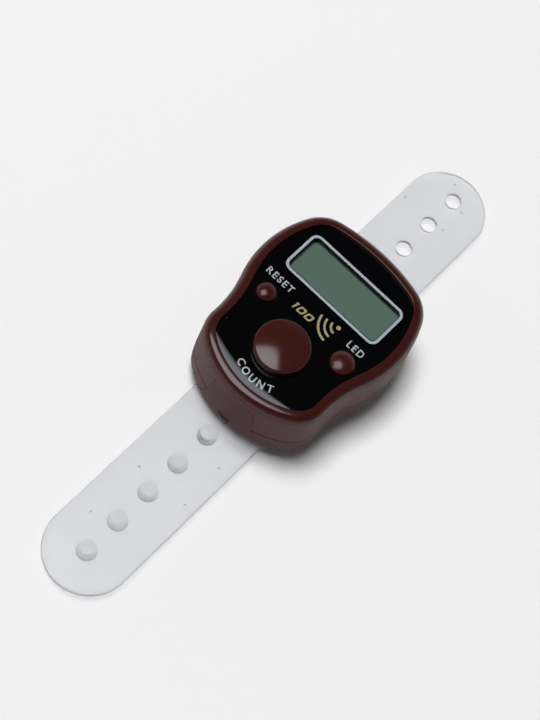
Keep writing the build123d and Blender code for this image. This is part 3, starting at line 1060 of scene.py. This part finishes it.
@dataclass
class FacePrint:
    """Prints on the panel: the frame round the display, the words by the buttons and the sound sign."""

    silver: Ink = Ink("print_silver", (0.4, 0.445, 0.49), metallic=0.1)
    white: Ink = Ink("print_white", (0.38, 0.4, 0.42))
    gold: Ink = Ink("print_gold", (0.37, 0.33, 0.17), metallic=0.2)
    edge: NearEdge = NearEdge()
    ink: float = 0.02
    clear_of_ink: float = 0.003
    corner_steps: int = 8
    frame_middle: Point = (0.0, 8.11)
    frame_half: Point = (9.93, 4.15)
    frame_corner: float = 1.4
    frame_inner_half: Point = (9.46, 3.71)
    frame_inner_corner: float = 1.0
    word_height: float = 1.28
    word_weight: float = 0.018
    word_spacing: float = 1.25
    reset_width: float = 5.5
    reset_middle: Point = (-8.2, 1.6)
    led_width: float = 3.2
    led_middle: Point = (8.25, 1.6)
    count_word: str = "COUNT"
    count_middle: Point = (0.2, -7.25)
    count_radius: float = 6.8
    count_step: float = 13.5
    count_cuts: int = 3
    hundred_width: float = 3.9
    hundred_middle: Point = (-1.9, 0.15)
    digit_half: Point = (0.6, 0.64)
    digit_stroke: float = 0.29
    digit_corner: float = 0.32
    digit_step: float = 1.46
    digit_slant: float = 0.28
    sign_middle: Point = (3.88, 2.33)
    sign_dot: float = 0.39
    sign_dot_sides: int = 32
    sign_stroke: float = 0.39
    sign_radii: tuple[float, ...] = (1.27, 2.3, 3.34)
    sign_start: float = 187.0
    sign_sweep: float = 76.0
    sign_steps: int = 24
    sign_tip_sides: int = 24
    sign_weld: float = 0.001
    panel_top: float = field(init=False)

    def __post_init__(self) -> None:
        """Take the height of the panel's flat face from its solid."""
        _, (_, _, self.panel_top) = solid_box("face_panel")

    def dress(self) -> None:
        """Give the panel its gloss black."""
        dress_nodes(GlossPanel("panel_black", edge=self.edge), "face_panel")

    def build(self) -> None:
        """Print everything on the panel, each piece in its ink."""
        silver, white, gold = (ink.material() for ink in (self.silver, self.white, self.gold))
        for piece, material in (
            (self._frame(), silver),
            (self._word("label_reset", "RESET", self.reset_width, self.reset_middle), white),
            (self._word("label_led", "LED", self.led_width, self.led_middle), white),
            (self._count_word(), white),
            (self._hundred(), gold),
            (self._sound_sign(), gold),
        ):
            finish_piece(piece, material, Body.CASE)

    def _on_panel(self, at: Point) -> Place:
        """The middle of the ink above a point in plan."""
        return (*at, self.panel_top + self.ink / 2)

    def _loop(self, name: str, middle: Point, half: Point, corner: float) -> Object:
        """Loop of edges with rounded corners.

        Args:
            name: Name of the new object.
            middle: Its middle in plan.
            half: Half of its width and height.
            corner: Radius of its corners.

        Returns:
            The loop, with no face.
        """
        place = Vector((*middle, self.panel_top)) * MM
        loop = Bench.add(name, bpy.ops.mesh.primitive_plane_add, (*half, 1.0), size=2 * MM, location=place)
        with Bench.editing(loop):
            bpy.ops.mesh.bevel(
                offset=corner * MM, offset_type="OFFSET", segments=self.corner_steps, affect="VERTICES"
            )
            bpy.ops.mesh.select_all(action="SELECT")
            bpy.ops.mesh.delete(type="ONLY_FACE")
        return loop

    def _ring(self, outer: Object, inner: Object) -> Object:
        """Ink between two loops.

        Args:
            outer: The loop round it, which gives it its name.
            inner: The loop inside it.

        Returns:
            The ring.
        """
        ring = Bench.joined([outer, inner], outer.name)
        with Bench.editing(ring):
            bpy.ops.mesh.bridge_edge_loops()
            bpy.ops.mesh.select_all(action="SELECT")
            bpy.ops.mesh.extrude_region_move(TRANSFORM_OT_translate={"value": (0.0, 0.0, self.ink * MM)})
            bpy.ops.mesh.select_all(action="SELECT")
            bpy.ops.mesh.normals_make_consistent(inside=False)
        return ring

    def _frame(self) -> Object:
        """Frame printed round the display opening.

        Returns:
            The new piece.
        """
        name = "display_frame"
        outer = self._loop(name, self.frame_middle, self.frame_half, self.frame_corner)
        inner = self._loop(name + "_inner", self.frame_middle, self.frame_inner_half, self.frame_inner_corner)
        return self._ring(outer, inner)

    def _hundred(self) -> Object:
        """The number 100 in square digits that lean forward.

        Returns:
            The new piece.
        """
        wide, tall = self.digit_half
        stroke = self.digit_stroke
        stem = Bench.block("label_hundred", (stroke, 2 * tall, self.ink), self._on_panel((0.0, 0.0)))
        flag_middle = self._on_panel((-stroke / 2, tall - stroke / 2))
        flag = Bench.block("digit_flag", (stroke, stroke, self.ink + self.clear_of_ink), flag_middle)
        digits = [stem, flag]
        for index in (1, 2):
            middle = (self.digit_step * index - wide / 2, 0.0)
            outer = self._loop("digit_nought", middle, self.digit_half, self.digit_corner)
            inner_half = (wide - stroke, tall - stroke)
            inner = self._loop("digit_nought_inner", middle, inner_half, self.digit_corner - stroke / 2)
            digits.append(self._ring(outer, inner))
        number = Bench.joined(digits, "label_hundred")
        lean = Matrix.Identity(4)
        lean[0][1] = self.digit_slant
        number.data.transform(lean)
        Bench.fit(number, self.hundred_width, self.word_height, self._on_panel(self.hundred_middle))
        return number

    def _word(self, name: str, words: str, width: float, middle: Point) -> Object:
        """Print a word on a straight line.

        Args:
            name: Name of the new piece.
            words: What it says.
            width: Its width.
            middle: Its middle in plan.

        Returns:
            The new piece.
        """
        word = Bench.lettering(name, words, self.ink, self.word_weight, self.word_spacing)
        Bench.fit(word, width, self.word_height, self._on_panel(middle))
        return word

    def _count_word(self) -> Object:
        """Word on an arc below the large button, pressed onto the panel's near edge.

        Returns:
            The new piece.
        """
        middle_letter = (len(self.count_word) - 1) / 2
        place = Matrix.Translation(Vector(self._on_panel(self.count_middle)) * MM)
        letters = []
        for index, letter in enumerate(self.count_word):
            angle = math.radians(self.count_step * (index - middle_letter))
            made = Bench.lettering("label_count_letter", letter, self.ink, self.word_weight, 1.0)
            Bench.fit(made, None, self.word_height, (0.0, -self.count_radius, 0.0))
            made.data.transform(place @ Matrix.Rotation(angle, 4, "Z"))
            letters.append(made)
        word = Bench.joined(letters, "label_count")
        with Bench.editing(word):
            bpy.ops.mesh.quads_convert_to_tris()
            bpy.ops.mesh.subdivide(number_cuts=self.count_cuts)
        for vertex in word.data.vertices:
            vertex.co.z -= self.edge.fall(vertex.co.x / MM, vertex.co.y / MM) * MM
        return word

    def _sound_sign(self) -> Object:
        """Dot with an arc at each radius.

        Returns:
            The new piece.
        """
        name = "sound_sign"
        heights = (self.panel_top, self.panel_top + self.ink)
        shapes = [Bench.disc(name, self.sign_dot, heights, self.sign_middle, self.sign_dot_sides)]
        for radius in self.sign_radii:
            shapes.extend(self._arc(radius))
        return Bench.joined(shapes, name)

    def _arc(self, radius: float) -> list[Object]:
        """One arc of the sound sign: a strip that is spun about the dot, closed by round tips.

        Args:
            radius: Radius of the middle of the strip.

        Returns:
            The strip and its two tips.
        """
        x, y = self.sign_middle
        start, sweep = math.radians(self.sign_start), math.radians(self.sign_sweep)
        ends = [
            (x + radius * math.cos(angle), y + radius * math.sin(angle)) for angle in (start, start + sweep)
        ]
        strip = Bench.add(
            "sound_arc",
            bpy.ops.mesh.primitive_plane_add,
            (self.sign_stroke, self.ink, 1.0),
            size=MM,
            location=Vector(self._on_panel(ends[0])) * MM,
            rotation=(math.radians(90), 0.0, start),
        )
        with Bench.editing(strip):
            bpy.ops.mesh.spin(steps=self.sign_steps, angle=-sweep, center=(x * MM, y * MM, 0.0), axis=UP)
            bpy.ops.mesh.select_all(action="SELECT")
            bpy.ops.mesh.remove_doubles(threshold=self.sign_weld * MM)
            bpy.ops.mesh.normals_make_consistent(inside=False)
        heights = (self.panel_top, self.panel_top + self.ink + self.clear_of_ink)
        tip_radius = self.sign_stroke / 2
        tips = [Bench.disc("sound_tip", tip_radius, heights, end, self.sign_tip_sides) for end in ends]
        return [strip, *tips]


@dataclass
class DisplayStack:
    """The clear pane, the film behind it and the layers below, dressed where they stand."""

    layers: tuple[tuple[str, Finish], ...] = (
        ("window_pane", ClearPane("clear_pane")),
        ("lcd_polariser", DisplayFilm("display_film")),
        ("lcd_cell", ClearPane("display_glass", (0.8, 0.86, 0.84))),
        ("light_guide", DullStuff("guide_white", (0.78, 0.79, 0.77), roughness=0.45)),
        ("lcd_connector", DullStuff("connector_rubber", (0.4, 0.16, 0.14))),
        ("backlight_led", DullStuff("lamp_body", (0.8, 0.74, 0.5), roughness=0.3)),
    )

    def dress(self) -> None:
        """Give each layer its finish."""
        for name, finish in self.layers:
            dress_nodes(finish, name)


@dataclass
class Electronics:
    """What the case shuts in, dressed where it stands."""

    board: Finish = BoardMask("board_green")
    blob: Finish = DullStuff("epoxy_black", (0.012, 0.012, 0.012), roughness=0.4)
    chips: Finish = DullStuff("chip_body", (0.06, 0.05, 0.045))
    cell: Finish = BareMetal("cell_steel", (0.56, 0.55, 0.53), roughness=0.22)
    contact: Finish = BareMetal("contact_metal", (0.62, 0.6, 0.54))
    brass: Finish = BareMetal("disc_brass", (0.63, 0.46, 0.17))
    ceramic: Finish = DullStuff("ceramic_disc", (0.62, 0.6, 0.54), roughness=0.4)
    screw: Finish = BareMetal("screw_steel", (0.5, 0.5, 0.51))

    def dress(self) -> None:
        """Give each piece its finish."""
        dress_nodes(self.board, "circuit_board")
        dress_nodes(self.blob, "controller_blob")
        dress_nodes(self.chips, "chip_parts")
        dress_nodes(self.cell, "button_cell")
        dress_nodes(self.contact, "battery_positive_contact", "battery_negative_contact", "buzzer_contacts")
        dress_nodes(self.brass, "buzzer_plate")
        dress_nodes(self.ceramic, "buzzer_ceramic")
        dress_nodes(self.screw, "board_screws")


@dataclass
class KeyDomes:
    """Hollow rubber domes between the board and the buttons, which give way as a button goes down. Here they
    stand at rest and ride on no body.
    """

    buttons: tuple[Body, ...] = (Body.COUNT, Body.RESET, Body.LED)
    rubber: Finish = DullStuff("dome_rubber", (0.32, 0.32, 0.32), roughness=0.65)
    wall: float = 0.35
    head_share: float = 0.525
    top_round: float = 0.15
    top_steps: int = 3
    overrun: float = 0.2

    def build(self) -> None:
        """Model a dome under each button and let it stand for its solid."""
        material = self.rubber.material()
        for button in self.buttons:
            key = button.value.removesuffix("_button")
            (left, near, low), (right, far, high) = solid_box(f"{key}_key_dome")
            x, y = (left + right) / 2, (near + far) / 2
            dome = self._dome(f"{key}_rubber_dome", right - x, (low, high), (x, y))
            finish_piece(dome, material, None)
            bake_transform(dome)
            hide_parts(f"{key}_key_dome")

    def _dome(self, name: str, foot: float, heights: Point, at: Point) -> Object:
        """A cone on a flat foot, hollow from below.

        Args:
            name: Name of the new piece.
            foot: Radius of its foot.
            heights: Heights of the board and of its top.
            at: Place of its axis in plan.

        Returns:
            The dome.
        """
        board, top = heights
        head = foot * self.head_share
        collar = board + self.wall
        dome = Bench.disc(name, foot, (board, collar), at)
        spread = (foot - self.wall - head) / (top - collar)
        sunk = self.wall / 2
        skirt = foot - self.wall + spread * sunk
        cone = Bench.cone("dome_cone", (skirt, head), (collar - sunk, top), at)
        Bench.cut(dome, cone, Cut.ADD)
        Bench.round_edges(dome, lambda middle: middle.z > top - ON_FACE, self.top_round, self.top_steps)
        inner_foot = foot - self.wall * 2
        inner_head = head - self.wall
        roof = top - self.wall * 2
        flare = (inner_foot - inner_head) / (roof - board)
        mouth = inner_foot + flare * self.overrun
        hollow = Bench.cone("dome_hollow", (mouth, inner_head), (board - self.overrun, roof), at)
        Bench.cut(dome, hollow, Cut.TAKE_AWAY)
        Bench.smooth(dome)
        return dome


@dataclass
class CaseScrews:
    """Four pan-head screws with a cross recess, in the wells of the back cover."""

    steel: Finish = BareMetal("case_screw_steel", (0.5, 0.5, 0.51), roughness=0.3)
    places: tuple[Point, ...] = ((-9.4, 14.0), (9.4, 14.0), (-9.35, -10.6), (9.35, -10.6))
    sides: int = 40
    head_radius: float = 1.1
    head_low: float = 2.8
    head_round: float = 0.32
    head_steps: int = 4
    seat: float = 3.6
    shank_radius: float = 0.58
    shank_length: float = 6.95
    recess_length: float = 1.25
    recess_width: float = 0.28
    recess_depth: float = 0.42

    def build(self) -> None:
        """Model one screw at the origin and copy it to the four places."""
        pattern = self._pattern()
        material = self.steel.material()
        for index, (x, y) in enumerate(self.places):
            piece = bpy.data.objects.new(f"case_screw_{index + 1}", pattern.data.copy())
            bpy.context.collection.objects.link(piece)
            piece.data.transform(Matrix.Translation((x * MM, y * MM, 0.0)))
            finish_piece(piece, material, Body.CASE)
            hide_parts("case_screws")
        Bench.thrown_away(pattern)

    def _pattern(self) -> Object:
        """The screw that the others are copies of.

        Returns:
            The screw, with its head down.
        """
        head = (self.head_low, self.seat)
        screw = Bench.disc("screw_pattern", self.head_radius, head, (0.0, 0.0), self.sides)
        with Bench.editing(screw):
            Bench.pick(screw, Part.FACES, lambda middle: middle.z > self.seat - ON_FACE)
            bpy.ops.mesh.inset(thickness=(self.head_radius - self.shank_radius) * MM)
            rise = (0.0, 0.0, self.shank_length * MM)
            bpy.ops.mesh.extrude_region_move(TRANSFORM_OT_translate={"value": rise})
        rim = self.head_low + ON_FACE
        Bench.round_edges(screw, lambda middle: middle.z < rim, self.head_round, self.head_steps)
        bar = (self.recess_length, self.recess_width, 2 * self.recess_depth)
        for turn in (0.0, 90.0):
            tool = Bench.block("recess", bar, (0.0, 0.0, self.head_low), turn)
            Bench.cut(screw, tool, Cut.TAKE_AWAY)
        Bench.smooth(screw)
        return screw


@dataclass
class Strap:
    """Soft strap in one moulding: a round-ended band with a row of pegs and a row of holes."""

    vinyl: Finish = MilkyVinyl("strap_clear")
    thickness: float = 1.1
    end_sides: int = 128
    edge_round: float = 0.42
    edge_steps: int = 4
    pitch: float = 6.8
    first_peg: float = -48.6
    peg_count: int = 5
    peg_foot: float = 1.65
    peg_top: float = 1.35
    peg_height: float = 2.3
    peg_round: float = 0.42
    peg_steps: int = 5
    peg_sink: float = 0.4
    foot_round: float = 0.16
    foot_steps: int = 3
    first_hole: float = 42.0
    hole_count: int = 3
    hole_radius: float = 1.38
    hole_sides: int = 56
    hole_round: float = 0.36
    hole_steps: int = 5
    hole_overrun: float = 1.0
    width: float = field(init=False)
    near_end: float = field(init=False)
    far_end: float = field(init=False)
    low: float = field(init=False)
    high: float = field(init=False)

    def __post_init__(self) -> None:
        """Take the band's width, ends and height from its solid."""
        (left, near, low), (right, far, _) = solid_box("strap")
        self.width = right - left
        self.near_end = near
        self.far_end = far
        self.low = low
        self.high = low + self.thickness

    def build(self) -> None:
        """Model the strap and let it stand for its solid."""
        strap = self._band()
        for index in range(self.hole_count):
            self._hole(strap, self.first_hole - self.pitch * index)
        for index in range(self.peg_count):
            self._peg(strap, self.first_peg + self.pitch * index)
        Bench.smooth(strap)
        finish_piece(strap, self.vinyl.material(), Body.STRAP)
        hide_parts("strap")

    def _on_faces(self, middle: Vector) -> bool:
        """Whether a point lies on the upper or the lower face of the band."""
        return not self.low + ON_FACE < middle.z < self.high - ON_FACE

    def _band(self) -> Object:
        """A disc whose near half is pulled out to the strap's length, with rounded rims.

        Returns:
            The band.
        """
        half = self.width / 2
        far_middle = self.far_end - half
        band = Bench.disc("clear_strap", half, (self.low, self.high), (0.0, far_middle), self.end_sides)
        pull = self.width - (self.far_end - self.near_end)
        with Bench.editing(band):
            Bench.pick(band, Part.VERTICES, lambda place: place.y < far_middle - ON_FACE)
            bpy.ops.transform.translate(value=(0.0, pull * MM, 0.0))
        Bench.round_edges(band, self._on_faces, self.edge_round, self.edge_steps)
        return band

    def _hole(self, strap: Object, y: float) -> None:
        """Cut one hole and round its rims.

        Args:
            strap: The strap so far.
            y: Place of the hole along the strap.
        """
        through = (self.low - self.hole_overrun, self.high + self.hole_overrun)
        tool = Bench.disc("hole", self.hole_radius, through, (0.0, y), self.hole_sides)
        Bench.cut(strap, tool, Cut.TAKE_AWAY)

        def on_rim(middle: Vector) -> bool:
            """Whether a point lies on one of the hole's two rims."""
            reach = math.hypot(middle.x, middle.y - y)
            return abs(reach - self.hole_radius) < ON_CIRCLE and self._on_faces(middle)

        Bench.round_edges(strap, on_rim, self.hole_round, self.hole_steps)

    def _peg(self, strap: Object, y: float) -> None:
        """Add one tapered peg with a rounded top and a rounded foot.

        Args:
            strap: The strap so far.
            y: Place of the peg along the strap.
        """
        taper = (self.peg_foot - self.peg_top) / self.peg_height
        bottom, top = self.high - self.peg_sink, self.high + self.peg_height
        sunk_foot = self.peg_foot + taper * self.peg_sink
        peg = Bench.cone("peg", (sunk_foot, self.peg_top), (bottom, top), (0.0, y))
        Bench.round_edges(peg, lambda middle: middle.z > top - ON_FACE, self.peg_round, self.peg_steps)
        Bench.cut(strap, peg, Cut.ADD)

        def on_foot(middle: Vector) -> bool:
            """Whether a point lies where the peg meets the band."""
            reach = math.hypot(middle.x, middle.y - y)
            return abs(reach - self.peg_foot) < ON_CIRCLE and abs(middle.z - self.high) < ON_FACE

        Bench.round_edges(strap, on_foot, self.foot_round, self.foot_steps)


# Studio


def square_to(axis: Vector, direction: Place) -> Vector:
    """The unit vector nearest a direction among those square to an axis."""
    along = Vector(direction)
    return (along - axis * along.dot(axis)).normalized()


@dataclass(frozen=True)
class Lamp:
    """Soft rectangular lamp that points at the counter. Its distance and size are in metres."""

    name: str
    direction: Place
    size: Point
    watts: float
    side: Place = (1.0, 0.0, 0.0)
    distance: float = 3.0
    mirrored: bool = False
    lighting: bool = True
    fade: float = 0.0

    def build(self, target: Vector) -> None:
        """Hang the lamp and point it.

        Args:
            target: The point that it looks at, in metres.
        """
        light = bpy.data.lights.new(self.name, "AREA")
        light.shape = "RECTANGLE"
        light.size, light.size_y = self.size
        light.energy = self.watts
        if self.fade:
            self._dim_corner(light)
        lamp = bpy.data.objects.new(self.name, light)
        bpy.context.collection.objects.link(lamp)
        lamp.visible_transmission = False
        lamp.visible_glossy = self.mirrored
        lamp.visible_diffuse = self.lighting
        away = Vector(self.direction).normalized()
        along = square_to(away, self.side)
        facing = Matrix((along, away.cross(along), away)).transposed().to_4x4()
        lamp.matrix_world = Matrix.Translation(target + away * self.distance) @ facing

    def _dim_corner(self, light: bpy.types.Light) -> None:
        """Let the lamp come up to its full level from one dark corner.

        Args:
            light: The lamp's light.
        """
        light.use_nodes = True
        glow = Wiring(light.node_tree)
        from_corner = glow.vector("DOT_PRODUCT", glow.geometry("Parametric"), (*self.size, 0.0))
        level = glow.span(from_corner, (0.0, self.fade), (0.0, 1.0), smooth=False)
        glow.feed(glow.tree.nodes["Emission"].inputs["Strength"], level)


@dataclass
class Studio:
    """Pale floor, lamps, light from all round, a pale backdrop and the camera.

    The key and the fill light the counter and show in no mirror. The soft box shows in mirrors and lights
    nothing.
    """

    paper: Finish = FloorPaper("floor_paper")
    floor_size: float = 6.0
    lamps: tuple[Lamp, ...] = (
        Lamp("key", (-0.2, 0.02, 0.98), (0.98, 0.98), 82.0),
        Lamp("fill", UP, (4.0, 4.0), 5.0),
        Lamp(
            "soft_box",
            (-0.226, -0.26, 0.939),
            (2.37, 2.16),
            69.0,
            side=(-0.75, -0.66, 0.0),
            mirrored=True,
            lighting=False,
            fade=1.15,
        ),
    )
    lamp_target: Place = (0.0, 0.0, 8.0)
    horizon: float = 1.0
    ceiling: float = 0.045
    horizon_to_ceiling: Point = (0.15, 0.6)
    bright_from: Place = (-0.73, 0.68, 0.0)
    dim_side: float = 0.25
    bright_side: float = 0.55
    dim_to_bright: Point = (-0.7, 0.7)
    backdrop: float = 0.86
    camera_place: Place = (34.50, -111.73, 254.54)
    camera_right: Place = (0.7216, 0.6683, 0.1809)
    camera_up: Place = (-0.6797, 0.6343, 0.3686)
    camera_near: float = 10.0
    focal_pixels: float = 1678.0
    picture_height: float = 720.0
    sensor: float = 36.0

    def build(self) -> None:
        """Set up everything round the counter."""
        self._floor()
        self._world()
        for lamp in self.lamps:
            lamp.build(Vector(self.lamp_target) * MM)
        self._camera()
        bpy.context.scene.view_settings.view_transform = "Standard"

    def _floor(self) -> None:
        """Floor that the counter lies on. It is clear from below, so that the back can be seen."""
        floor = Bench.add("floor", bpy.ops.mesh.primitive_plane_add, size=self.floor_size)
        floor.data.materials.append(self.paper.material())

    def _world(self) -> None:
        """Light from all round, bright near the horizon, dim overhead and stronger from the far side.

        The camera itself sees a pale backdrop, also through clear pieces. Mirrors keep the dim ceiling,
        because a pale one would turn the gloss black panel grey.
        """
        world = bpy.data.worlds.new("studio")
        world.use_nodes = True
        bpy.context.scene.world = world
        sky = Wiring(world.node_tree)
        outward = sky.node("TexCoord").outputs["Generated"]
        rise = sky.vector("DOT_PRODUCT", outward, UP)
        overhead = sky.span(rise, self.horizon_to_ceiling, (self.horizon, self.ceiling))
        across = sky.vector("DOT_PRODUCT", outward, self.bright_from)
        sideways = sky.span(across, self.dim_to_bright, (self.dim_side, self.bright_side))
        ray = sky.node("LightPath").outputs
        seen = sky.number("MAXIMUM", ray["Is Camera Ray"], ray["Is Transmission Ray"])
        level = sky.number("MULTIPLY", overhead, sideways)
        shown = sky.node("Mix", {"Factor": seen, "A": level, "B": self.backdrop}).outputs["Result"]
        background = sky.tree.nodes["Background"].inputs
        sky.feed(background["Strength"], shown)
        sky.feed(background["Color"], WHITE)

    def _camera(self) -> None:
        """Camera at the photograph's viewing angle."""
        lens = bpy.data.cameras.new("camera")
        lens.sensor_width = self.sensor
        lens.lens = self.focal_pixels / self.picture_height * self.sensor
        lens.clip_start = self.camera_near * MM
        camera = bpy.data.objects.new("camera", lens)
        bpy.context.collection.objects.link(camera)
        right = Vector(self.camera_right).normalized()
        up = square_to(right, self.camera_up)
        turn = Matrix((right, up, right.cross(up))).transposed().to_4x4()
        camera.matrix_world = Matrix.Translation(Vector(self.camera_place) * MM) @ turn
        bpy.context.scene.camera = camera


# Putting it together


def main() -> None:
    """Dress the solids, build the new pieces and set up the studio."""
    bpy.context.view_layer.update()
    CaseShell().dress()
    prints = FacePrint()
    prints.dress()
    prints.build()
    DisplayStack().dress()
    Electronics().dress()
    KeyDomes().build()
    CaseScrews().build()
    Strap().build()
    Studio().build()


if __name__ == "__main__":
    main()
